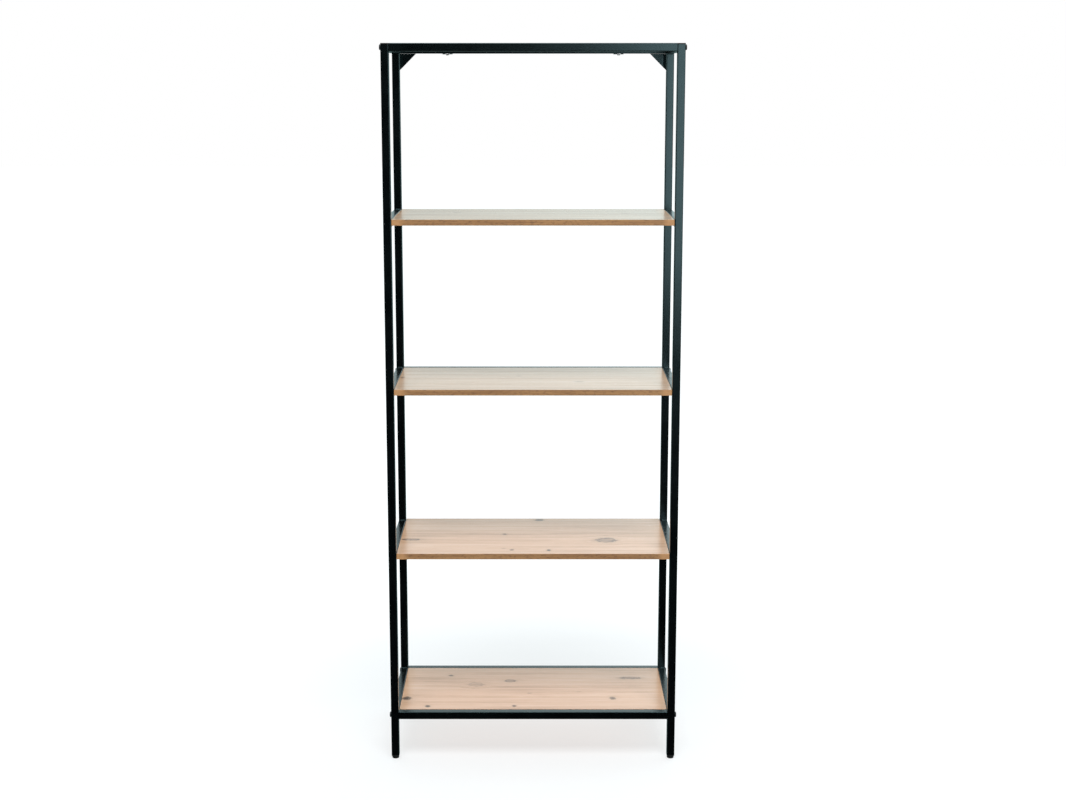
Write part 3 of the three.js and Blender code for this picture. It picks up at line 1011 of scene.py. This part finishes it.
@dataclass
class SideFrame:
    """One welded ladder: two posts, five side rails with their board tabs, and the weld beads."""

    side: Side
    coat: bpy.types.Material
    tubes: TubeWork = field(default_factory=TubeWork)
    tube_size: float = 20 * MM
    hole_radius: float = 3.3 * MM
    tab_length: float = 32 * MM
    tab_thickness: float = 2 * MM
    tab_from_end: float = 46 * MM
    tab_corner: float = 4 * MM
    tab_weld: float = 0.6 * MM
    tab_hole_radius: float = 2.3 * MM
    tab_drop: float = 15.3 * MM   # the board's thickness and its clearance
    bead_radius: float = 1.9 * MM
    bead_length: float = 15 * MM
    bead_ripples: int = 9
    bead_start: float = 0.55
    bead_swell: float = 1.6
    bead_ripple: float = 1.14
    bead_taper: float = 0.6

    def build(self) -> None:
        """Makes the whole ladder."""
        for end in End:
            self._post(end)
        bead = self._bead()
        for level in Level:
            self._side_rail(level)
            for end in End:
                self._joint(bead, level, end)
        bead.scrap()

    def _post(self, end: End) -> None:
        """Makes one post, bored for the bolts that pass through it.

        Args:
            end: where it stands.
        """
        node = f"post_{end.word}_{self.side.word}"
        post = self.tubes.tube(f"{node}_tube", node, Axis.Z)
        bolts = [f"bolt_{rail_end.word}_{level.word}_{self.side.word}"
                 for rail_end, level in CROSS_RAILS if rail_end is end]
        for bolt in bolts:
            middle = centre_of(bolt)
            middle.x = centre_of(node).x - self.tube_size
            drill = Workpiece.rod("drill", self.hole_radius, middle, 2 * self.tube_size, Axis.X, 32)
            post.cut(drill)
        post.finish([self.coat], "frame_powder_coat", stands_for=[node])

    def _side_rail(self, level: Level) -> None:
        """Makes one side rail; all but the top one carry two tabs.

        Args:
            level: the rail's level.
        """
        node = f"side_rail_{self.side.word}_{level.word}"
        low, high = map(Vector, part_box(node))
        inner = high.x if self.side is Side.LEFT else low.x
        outer = low.x if self.side is Side.LEFT else high.x
        face = outer - self.side.value * self.tube_size
        low.x, high.x = sorted((outer, face))
        rail = self.tubes.tube_between(f"{node}_tube", low, high, Axis.Y)
        if level is not Level.TOP:
            for place in (low.y + self.tab_from_end, high.y - self.tab_from_end):
                rail.weld(self._tab(place, face, inner, high.z - self.tab_drop))
        rail.finish([self.coat], "frame_powder_coat", stands_for=[node])

    def _tab(self, place: float, face: float, tip: float, top: float) -> Workpiece:
        """Makes one board tab.

        Args:
            place: the tab's middle along the rail.
            face: the rail's inner face.
            tip: how far the tab reaches.
            top: the tab's upper face.

        Returns:
            The drilled tab, which runs a little into the rail.
        """
        root = face + self.side.value * self.tab_weld
        half = self.tab_length / 2
        low_x, high_x = sorted((root, tip))
        tab = Workpiece.block("tab", (low_x, place - half, top - self.tab_thickness),
                              (high_x, place + half, top))
        sign = -self.side.value

        def free_corner(edge: bmesh.types.BMEdge) -> bool:
            """Whether an edge is an upright one at the tab's tip."""
            first, second = (vert.co for vert in edge.verts)
            upright = abs(first.z - second.z) > 0.5 * self.tab_thickness
            return upright and sign * (first.x - tip) > -0.1 * MM
        tab.pick_edges(free_corner).bevel(self.tab_corner, 5)
        drill = Workpiece.rod("drill", self.tab_hole_radius,
                              ((face + tip) / 2, place, top - 2 * self.tab_thickness),
                              4 * self.tab_thickness, Axis.Z, 24)
        return tab.cut(drill)

    def _bead(self) -> Workpiece:
        """Makes one rippled weld bead along X, with its middle at the origin.

        Returns:
            The bead.
        """
        step = self.bead_length / (2 * self.bead_ripples)
        start = (-self.bead_length / 2, 0.0, 0.0)
        bead = Workpiece.rod("bead", self.bead_start * self.bead_radius, start, step, Axis.X, 14)
        bead.pick_side(Axis.X, 1)
        bead.draw_out((step, 0.0, 0.0), self.bead_swell)
        for ripple in range(2 * self.bead_ripples - 3):
            bead.draw_out((step, 0.0, 0.0), self.bead_ripple if ripple % 2 == 0 else 1 / self.bead_ripple)
        bead.draw_out((step, 0.0, 0.0), self.bead_taper)
        bead.put_down()
        return bead

    def _joint(self, bead: Workpiece, level: Level, end: End) -> None:
        """Lays a bead above and below a rail's end; the top rail has one only below.

        Args:
            bead: the bead to copy.
            level: the rail's level.
            end: which end of the rail.
        """
        node = f"side_rail_{self.side.word}_{level.word}"
        low, high = map(Vector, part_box(node))
        middle_x = centre_of(f"post_{end.word}_{self.side.word}").x
        corner_y = low.y if end is End.FRONT else high.y
        heights = [low.z] if level is Level.TOP else [low.z, high.z]
        for number, height in enumerate(heights):
            name = f"weld_{end.word}_{self.side.word}_{level.word}_{number + 1}"
            spot = Matrix.Translation((middle_x, corner_y, height))
            bead.copy(name, spot).finish([self.coat], "frame_powder_coat", angle=60.0)


@dataclass
class CrossRails:
    """The five bolted rails, with the threaded blocks in their ends, and the dome-head bolts."""

    coat: bpy.types.Material
    bolt_finish: bpy.types.Material
    tubes: TubeWork = field(default_factory=TubeWork)
    block_length: float = 10 * MM
    block_fit: float = 0.9 * MM
    thread_radius: float = 3.3 * MM
    head_radius: float = 7 * MM
    head_height: float = 3.4 * MM
    head_round: float = 2.9 * MM
    head_fullness: float = 0.62
    key_radius: float = 2.3 * MM
    key_depth: float = 2 * MM
    shank_radius: float = 3 * MM
    tip_chamfer: float = 0.8 * MM

    def build(self) -> None:
        """Makes the rails, and a bolt at each of their ends."""
        low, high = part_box("bolt_front_top_left")
        bolt = self._bolt(high[0] - low[0] - self.head_height)
        for end, level in CROSS_RAILS:
            self._rail(end, level)
            for side in Side:
                self._set_bolt(bolt, end, level, side)
        bolt.scrap()

    def _rail(self, end: End, level: Level) -> None:
        """Makes one rail.

        Args:
            end: front or back.
            level: its level.
        """
        node = f"cross_rail_{end.word}_{level.word}"
        low, high = map(Vector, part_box(node))
        rail = self.tubes.tube(f"{node}_tube", node, Axis.X)
        fit = Vector((0.0, self.block_fit, self.block_fit))
        for near in (low.x, high.x - self.block_length):
            first = Vector((near, low.y, low.z)) + fit
            last = Vector((near + self.block_length, high.y, high.z)) - fit
            rail.weld(Workpiece.block("block", first, last))
        middle = centre_of(node)
        start = (low.x - self.block_length, middle.y, middle.z)
        length = high.x - low.x + 2 * self.block_length
        drill = Workpiece.rod("drill", self.thread_radius, start, length, Axis.X, 32)
        rail.cut(drill)
        rail.finish([self.coat], "frame_powder_coat", stands_for=[node])

    def _bolt(self, shank: float) -> Workpiece:
        """Makes a bolt along +Z, with the flat underside of its head at the origin.

        Args:
            shank: the length under the head.

        Returns:
            The bolt.
        """
        bolt = Workpiece.rod("bolt", self.head_radius, (0.0, 0.0, -self.head_height), self.head_height)
        bolt.pick_rim(Axis.Z, -self.head_height).bevel(self.head_round, 8, self.head_fullness)
        bolt.pick_side(Axis.Z, 1).inset(self.head_radius - self.shank_radius)
        bolt.draw_out((0.0, 0.0, shank))
        bolt.put_down()
        bolt.pick_rim(Axis.Z, shank).bevel(self.tip_chamfer, 1)
        key = Workpiece.rod("key", self.key_radius, (0.0, 0.0, self.key_depth - 2 * self.head_height),
                            self.head_height, Axis.Z, 6)
        return bolt.cut(key)

    def _set_bolt(self, bolt: Workpiece, end: End, level: Level, side: Side) -> None:
        """Copies the bolt into one end of a rail.

        Args:
            bolt: the bolt to copy.
            end: the rail's end of the bookcase.
            level: the rail's level.
            side: which end of the rail.
        """
        node = f"bolt_{end.word}_{level.word}_{side.word}"
        low, high = map(Vector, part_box(node))
        middle = (low + high) / 2
        outer = low.x if side is Side.LEFT else high.x
        seat = Vector((outer - side.value * self.head_height, middle.y, middle.z))
        turn = Matrix.Rotation(-side.value * math.pi / 2, 4, "Y")
        copy = bolt.copy(f"{node}_dome", Matrix.Translation(seat) @ turn)
        copy.finish([self.bolt_finish], "black_bolt", stands_for=[node])


@dataclass
class Boards:
    """The four boards: decor faces, banded edges, and a fine seam where the two meet."""

    band_finishes: dict[Axis, bpy.types.Material]
    arris: float = 0.7 * MM
    band: float = 0.8 * MM
    seam_width: float = 0.25 * MM
    seam_depth: float = 0.12 * MM
    screw_hole_radius: float = 2.3 * MM
    screw_hole_depth: float = 10.3 * MM
    banded_below: float = 0.72

    def build(self, decors: dict[Level, bpy.types.Material]) -> None:
        """Makes the boards.

        Args:
            decors: the decor of each board.
        """
        for level, decor in decors.items():
            self._board(level, decor)

    def _board(self, level: Level, decor: bpy.types.Material) -> None:
        """Makes one board and puts its materials on its faces.

        Args:
            level: the board's level.
            decor: its decor.
        """
        node = f"board_{level.word}"
        low, high = map(Vector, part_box(node))
        board = Workpiece.block(f"{node}_oak", low, high)
        board.pick_edges(lambda edge: True).bevel(self.arris, 4)
        for sign in (-1, 1):
            board.pick_side(Axis.Z, sign).inset(self.band)
            board.inset(self.seam_width / 2, -self.seam_depth)
            board.inset(self.seam_width / 2, self.seam_depth)
            board.put_down()
        if level in SCREWED_LEVELS:
            for end in End:
                for side in Side:
                    middle = centre_of(f"screw_{level.word}_{end.word}_{side.word}")
                    start = (middle.x, middle.y, low.z - self.screw_hole_depth)
                    board.cut(Workpiece.rod("drill", self.screw_hole_radius, start,
                                            2 * self.screw_hole_depth, Axis.Z, 24))
        self._paint(board)
        body = f"loose_shelf_{level.word}" if level in LOOSE_LEVELS else "frame"
        materials = [decor, self.band_finishes[Axis.X], self.band_finishes[Axis.Y]]
        board.finish(materials, "oak_board", body, [node])

    def _paint(self, board: Workpiece) -> None:
        """Gives faces that look sideways the banding, and the rest the decor.

        Args:
            board: the board.
        """
        for face in board.body.data.polygons:
            sideways = abs(face.normal.z) < self.banded_below
            towards_end = abs(face.normal.x) > abs(face.normal.y)
            face.material_index = (2 if towards_end else 1) if sideways else 0


@dataclass
class PlasticFittings:
    """Post caps, foot plugs and levelling feet."""

    plastic: bpy.types.Material
    corner: float = 1.8 * MM
    corner_segments: int = 6
    cap_flange: float = 2.5 * MM
    cap_edge: float = 0.9 * MM
    stem_inset: float = 1.5 * MM
    crown: float = 0.3 * MM
    crown_scale: float = 0.82
    plug_flange: float = 2 * MM
    thread_radius: float = 3.3 * MM
    foot_height: float = 8 * MM
    foot_edge: float = 2 * MM
    foot_top_edge: float = 0.5 * MM
    plug_edge: float = 0.3 * MM
    stem_radius: float = 3 * MM
    stem_root: float = 0.84
    pitch: float = 1 * MM
    flutes: int = 16
    flute_depth: float = 0.35 * MM

    def build(self) -> None:
        """Makes the fittings of all four posts."""
        foot = self._foot()
        for end in End:
            for side in Side:
                spot = f"{end.word}_{side.word}"
                self._cap(spot)
                self._plug(spot)
                middle = centre_of(f"levelling_foot_{spot}")
                place = Matrix.Translation((middle.x, middle.y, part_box(f"levelling_foot_{spot}")[0][2]))
                copy = foot.copy(f"levelling_foot_{spot}_turned", place)
                copy.finish([self.plastic], "black_plastic", f"foot_{spot}",
                            [f"levelling_foot_{spot}"])
        foot.scrap()

    def _cap(self, spot: str) -> None:
        """Makes the cap of one post: a rounded, slightly dished flange on a square stem.

        Args:
            spot: the end and side of the post.
        """
        node = f"cap_{spot}"
        low, high = map(Vector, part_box(node))
        under = high.z - self.cap_flange
        cap = Workpiece.block(f"{node}_moulded", (low.x, low.y, under), high)
        cap.pick_edges_along(Axis.Z).bevel(self.corner, self.corner_segments)
        cap.pick_rim(Axis.Z, high.z).bevel(self.cap_edge, 4)
        cap.pick_side(Axis.Z, 1).draw_out((0.0, 0.0, -self.crown), self.crown_scale)
        cap.put_down()
        cap.pick_side(Axis.Z, -1).inset(self.stem_inset)
        cap.draw_out((0.0, 0.0, low.z - under))
        cap.put_down()
        cap.finish([self.plastic], "black_plastic", stands_for=[node])

    def _plug(self, spot: str) -> None:
        """Makes the threaded plug of one post.

        Args:
            spot: the end and side of the post.
        """
        node = f"foot_plug_{spot}"
        low, high = map(Vector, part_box(node))
        plug = Workpiece.block(f"{node}_moulded", low, (high.x, high.y, low.z + self.plug_flange))
        plug.pick_edges_along(Axis.Z).bevel(self.corner, self.corner_segments)
        plug.pick_rim(Axis.Z, low.z).bevel(self.plug_edge, 3)
        plug.pick_side(Axis.Z, 1).inset(self.stem_inset)
        plug.draw_out((0.0, 0.0, high.z - low.z - self.plug_flange))
        plug.put_down()
        middle = (low + high) / 2
        length = 2 * (high.z - low.z)
        plug.cut(Workpiece.rod("drill", self.thread_radius, (middle.x, middle.y, middle.z - length / 2),
                               length, Axis.Z, 32))
        plug.finish([self.plastic], "black_plastic", stands_for=[node])

    def _foot(self) -> Workpiece:
        """Makes a foot that stands on the origin: fluted round base and ridged stem.

        Returns:
            The foot.
        """
        low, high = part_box("levelling_foot_front_left")
        radius = (high[0] - low[0]) / 2
        foot = Workpiece.rod("foot", radius, (0.0, 0.0, 0.0), self.foot_height, Axis.Z, 4 * self.flutes)
        foot.pick_rim(Axis.Z, 0.0).bevel(self.foot_edge, 6)
        foot.pick_rim(Axis.Z, self.foot_height).bevel(self.foot_top_edge, 3)

        def in_a_flute(face: bmesh.types.BMFace) -> bool:
            """Whether a face of the upright wall lies in the middle half of a flute's share."""
            middle = face.calc_center_median()
            turn = math.atan2(middle.y, middle.x) / math.tau * self.flutes
            return abs(face.normal.z) < 0.1 and 0.25 < turn % 1.0 < 0.75
        foot.pick_faces(in_a_flute)
        bpy.ops.mesh.inset(thickness=self.flute_depth, depth=-self.flute_depth)
        foot.put_down()
        foot.pick_side(Axis.Z, 1).inset(radius - self.foot_top_edge - self.stem_radius)
        half_pitch = self.pitch / 2
        turns = int((high[2] - low[2] - self.foot_height) / self.pitch) - 1
        foot.draw_out((0.0, 0.0, half_pitch), self.stem_root)
        for _ in range(turns):
            foot.draw_out((0.0, 0.0, half_pitch), 1 / self.stem_root)
            foot.draw_out((0.0, 0.0, half_pitch), self.stem_root)
        foot.draw_out((0.0, 0.0, half_pitch))
        foot.put_down()
        return foot


@dataclass
class SteelFittings:
    """The gussets and wall brackets under the rear top rail, and all the screws."""

    coat: bpy.types.Material
    zinc: bpy.types.Material
    gusset_edge: float = 0.35 * MM
    bracket_edge: float = 0.3 * MM
    head_radius: float = 4 * MM
    head_height: float = 2.4 * MM
    shank_radius: float = 2 * MM
    slot_width: float = 1 * MM
    slot_length: float = 4.6 * MM
    slot_depth: float = 1.4 * MM
    thread_step: float = 0.9 * MM
    thread_root: float = 0.78
    screw_tip: float = 0.25

    def build(self) -> None:
        """Makes the pieces."""
        for side in Side:
            self._plate(f"gusset_{side.word}", self.coat, "frame_powder_coat", self.gusset_edge)
            self._plate(f"wall_bracket_{side.word}", self.zinc, "zinc_steel", self.bracket_edge)
        board_screws = [f"screw_{level.word}_{end.word}_{side.word}"
                        for level in SCREWED_LEVELS for end in End for side in Side]
        self._screws(board_screws)
        self._screws([f"bracket_screw_{side.word}" for side in Side])

    def _plate(self, node: str, finish: bpy.types.Material, slot: str, edge: float) -> None:
        """Makes a sheet-steel piece with softened edges.

        Args:
            node: the node that it stands for.
            finish: its material.
            slot: the record's material slot.
            edge: how far its edges are rounded.
        """
        plate = Workpiece.copy_of_node(f"{node}_plate", node)
        plate.modify("BEVEL", width=edge, segments=5, limit_method="ANGLE",
                     angle_limit=math.radians(40.0))
        plate.finish([finish], slot, stands_for=[node], angle=24.0)

    def _screws(self, nodes: Sequence[str]) -> None:
        """Makes one screw and copies it to all the given nodes.

        Args:
            nodes: nodes of one size of screw.
        """
        low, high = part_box(nodes[0])
        screw = self._screw(high[2] - low[2] - self.head_height)
        for node in nodes:
            middle = centre_of(node)
            seat = (middle.x, middle.y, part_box(node)[0][2] + self.head_height)
            copy = screw.copy(f"{node}_turned", Matrix.Translation(seat))
            copy.finish([self.zinc], "zinc_steel", stands_for=[node])
        screw.scrap()

    def _screw(self, shank: float) -> Workpiece:
        """Makes a cross-slotted screw that points up, with its head's upper face at the origin.

        Args:
            shank: its length above the head.

        Returns:
            The screw.
        """
        screw = Workpiece.rod("screw", self.head_radius, (0.0, 0.0, -self.head_height),
                              self.head_height, Axis.Z, 32)
        screw.pick_rim(Axis.Z, -self.head_height).bevel(0.75 * self.head_height, 6)
        screw.pick_side(Axis.Z, 1).inset(self.head_radius - self.shank_radius)
        screw.draw_out((0.0, 0.0, self.thread_step), self.thread_root)
        for _ in range(int(shank / self.thread_step) - 3):
            screw.draw_out((0.0, 0.0, self.thread_step / 2), 1 / self.thread_root)
            screw.draw_out((0.0, 0.0, self.thread_step / 2), self.thread_root)
        screw.draw_out((0.0, 0.0, self.thread_step), self.screw_tip)
        screw.put_down()
        half_width, half_length = self.slot_width / 2, self.slot_length / 2
        floor, below = self.slot_depth - self.head_height, -2 * self.head_height
        for reach_x, reach_y in ((half_width, half_length), (half_length, half_width)):
            screw.cut(Workpiece.block("slot", (-reach_x, -reach_y, below), (reach_x, reach_y, floor)))
        return screw


@dataclass(frozen=True)
class Softbox:
    """A rectangular lamp: its middle, the point that it faces, its width and height, and its watts."""

    name: str
    place: Triple
    target: Triple
    size: tuple[float, float]
    power: float

    def hang(self) -> None:
        """Puts the lamp in the scene, out of the camera's sight."""
        data = bpy.data.lights.new(self.name, "AREA")
        data.shape = "RECTANGLE"
        data.size, data.size_y = self.size
        data.energy = self.power
        lamp = bpy.data.objects.new(self.name, data)
        lamp.location = self.place
        way = Vector(self.target) - Vector(self.place)
        lamp.rotation_euler = way.to_track_quat("-Z", "Y").to_euler()
        lamp.visible_camera = False
        bpy.context.scene.collection.objects.link(lamp)


@dataclass
class Studio:
    """Camera, lamps, surroundings and floor."""

    distance: float = 4.07
    eye_height: float = 1.757
    lens: float = 55.3
    aim_height: float = 0.964
    shift: float = -0.02
    floor_size: float = 60.0
    floor_depth: float = 20 * MM
    floor_edge: float = 10 * MM
    low_wall: Colour = (0.28, 0.44, 0.44)
    high_wall: Colour = (0.85, 1.0, 1.02)
    least_glow: float = 0.004
    room_glow: float = 0.50
    left_wall_glow: float = 0.40
    right_wall_extra: float = 0.48
    ceiling_glow: float = 0.10
    softboxes: tuple[Softbox, ...] = (
        Softbox("ceiling_softbox", (0.0, -4.0, 7.6), (0.0, 0.0, 0.8), (6.0, 3.4), 500.0),
        Softbox("right_softbox", (1.75, -5.4, 1.80), (0.3, -0.2, 1.5), (2.4, 2.6), 76.0),
    )

    def build(self) -> None:
        """Sets the whole studio up."""
        self._camera()
        self._surroundings()
        self._floor()
        for softbox in self.softboxes:
            softbox.hang()
        settings = bpy.context.scene.view_settings
        settings.view_transform = "Standard"
        settings.look = "None"

    def _camera(self) -> None:
        """Sets the camera in front, a little below the top, and aims it at the middle."""
        low, _ = CAD_BOX
        data = bpy.data.cameras.new("camera")
        data.lens = self.lens
        data.shift_y = self.shift
        camera = bpy.data.objects.new("camera", data)
        bpy.context.scene.collection.objects.link(camera)
        shifted = math.atan(self.shift * data.sensor_width / self.lens)
        pitch = math.atan((self.eye_height - self.aim_height) / self.distance) + shifted
        camera.location = (0.0, low.y - self.distance, self.eye_height)
        camera.rotation_euler = (math.pi / 2 - pitch, 0.0, 0.0)
        bpy.context.scene.camera = camera

    def _surroundings(self) -> None:
        """Makes a room that the camera sees as plain white, and that lights and is mirrored unevenly.

        It is dark in front, where the camera stands, and brightest on the right of the wall behind.
        """
        world = bpy.data.worlds.new("white_room")
        bpy.context.scene.world = world
        graph = Graph(world)
        x, y, z = separate(graph.node("ShaderNodeTexCoord", output="Generated"))
        front = (0.0 - y).ramp(0.35, 0.65)
        wall = self.left_wall_glow + self.right_wall_extra * x.ramp(-0.10, 0.12)
        behind = y.ramp(-0.10, 0.30) * z.ramp(-0.05, 0.03) * wall
        above = z.ramp(0.45, 0.90)
        glow = self.least_glow + self.room_glow * (1.0 - front) + behind + self.ceiling_glow * above
        colour = graph.blend(z.ramp(0.02, 0.20), self.low_wall, self.high_wall)
        room = graph.node("ShaderNodeBackground", None, {"Color": colour, "Strength": glow})
        seen = graph.node("ShaderNodeBackground", None, {"Color": (1.0, 1.0, 1.0, 1.0), "Strength": 1.0})
        camera_ray = graph.node("ShaderNodeLightPath", output="Is Camera Ray")
        mixed = graph.node("ShaderNodeMixShader", None, {0: camera_ray, 1: room, 2: seen})
        graph.end("ShaderNodeOutputWorld", mixed)

    def _floor(self) -> None:
        """Lays the floor, with its edge turned down out of sight."""
        half = self.floor_size / 2
        floor = Workpiece.block("studio_floor", (-half, -half, -self.floor_depth), (half, half, 0.0))
        floor.pick_rim(Axis.Z, 0.0).bevel(self.floor_edge, 3)
        floor.body.data.materials.append(StudioFloor().material())
        floor.body.visible_glossy = False


def board_decors() -> dict[Level, bpy.types.Material]:
    """Makes the decor of each board, with the knots that its sheet was cut with and the shade painted on
    it.

    Returns:
        The material of each level's board.
    """
    knots = {
        Level.BOTTOM: (
            Knot(-0.339, -0.078, 0.012, 0.012), Knot(-0.279, -0.134, 0.006, 0.007),
            Knot(-0.157, 0.024, 0.020, 0.015, 0.4), Knot(-0.228, 0.093, 0.006, 0.006, 0.8),
            Knot(-0.063, 0.052, 0.015, 0.009, 0.9), Knot(0.270, 0.074, 0.028, 0.008),
            Knot(0.214, -0.077, 0.008, 0.010, 0.8), Knot(-0.050, -0.133, 0.005, 0.007, 0.8),
        ),
        Level.LOWER: (
            Knot(-0.325, -0.040, 0.024, 0.009), Knot(-0.076, 0.010, 0.005, 0.007, 0.6),
            Knot(-0.055, -0.138, 0.005, 0.007, 0.7), Knot(0.017, 0.156, 0.012, 0.010, 0.9),
            Knot(0.041, -0.142, 0.005, 0.007), Knot(0.194, -0.047, 0.026, 0.020, 0.9),
        ),
        Level.MIDDLE: (Knot(-0.344, 0.002, 0.006, 0.012, 0.5), Knot(0.120, -0.060, 0.012, 0.010, 0.3)),
        Level.UPPER: (Knot(-0.200, 0.060, 0.012, 0.010, 0.3), Knot(0.240, 0.020, 0.012, 0.010, 0.3)),
    }
    # Painted shade: the middle and upper boards get darker, cooler copies of the decor in place of duller
    # light on them.
    painted_board_shades = {Level.MIDDLE: (0.89, 1.01, 1.08), Level.UPPER: (0.79, 0.90, 0.96)}
    even = (1.0, 1.0, 1.0)
    return {level: OakDecor(f"oak_decor_{level.word}", found, 3.1 * (level.value + 1),
                            fade=painted_board_shades.get(level, even)).material()
            for level, found in knots.items()}


def main() -> None:
    """Builds the bookcase's visible pieces and the studio, in order."""
    logging.basicConfig(level=logging.INFO, format="%(name)s: %(message)s")
    coat = PowderCoat().material()
    black_steel = Metal("black_bolt_steel", colour=(0.012, 0.013, 0.014), stain=(0.022, 0.024, 0.025),
                        metallic=0.35, gloss=0.30)
    zinc_steel = Metal("zinc_plate", colour=(0.62, 0.64, 0.65), stain=(0.50, 0.51, 0.52),
                       metallic=1.0, gloss=0.26)
    bands = {axis: EdgeBand(f"oak_band_{axis.name.lower()}", axis).material()
             for axis in (Axis.X, Axis.Y)}
    Studio().build()
    for side in Side:
        SideFrame(side, coat).build()
    CrossRails(coat, black_steel.material()).build()
    Boards(bands).build(board_decors())
    PlasticFittings(MouldedPlastic().material()).build()
    SteelFittings(coat, zinc_steel.material()).build()


if __name__ == "__main__":
    main()
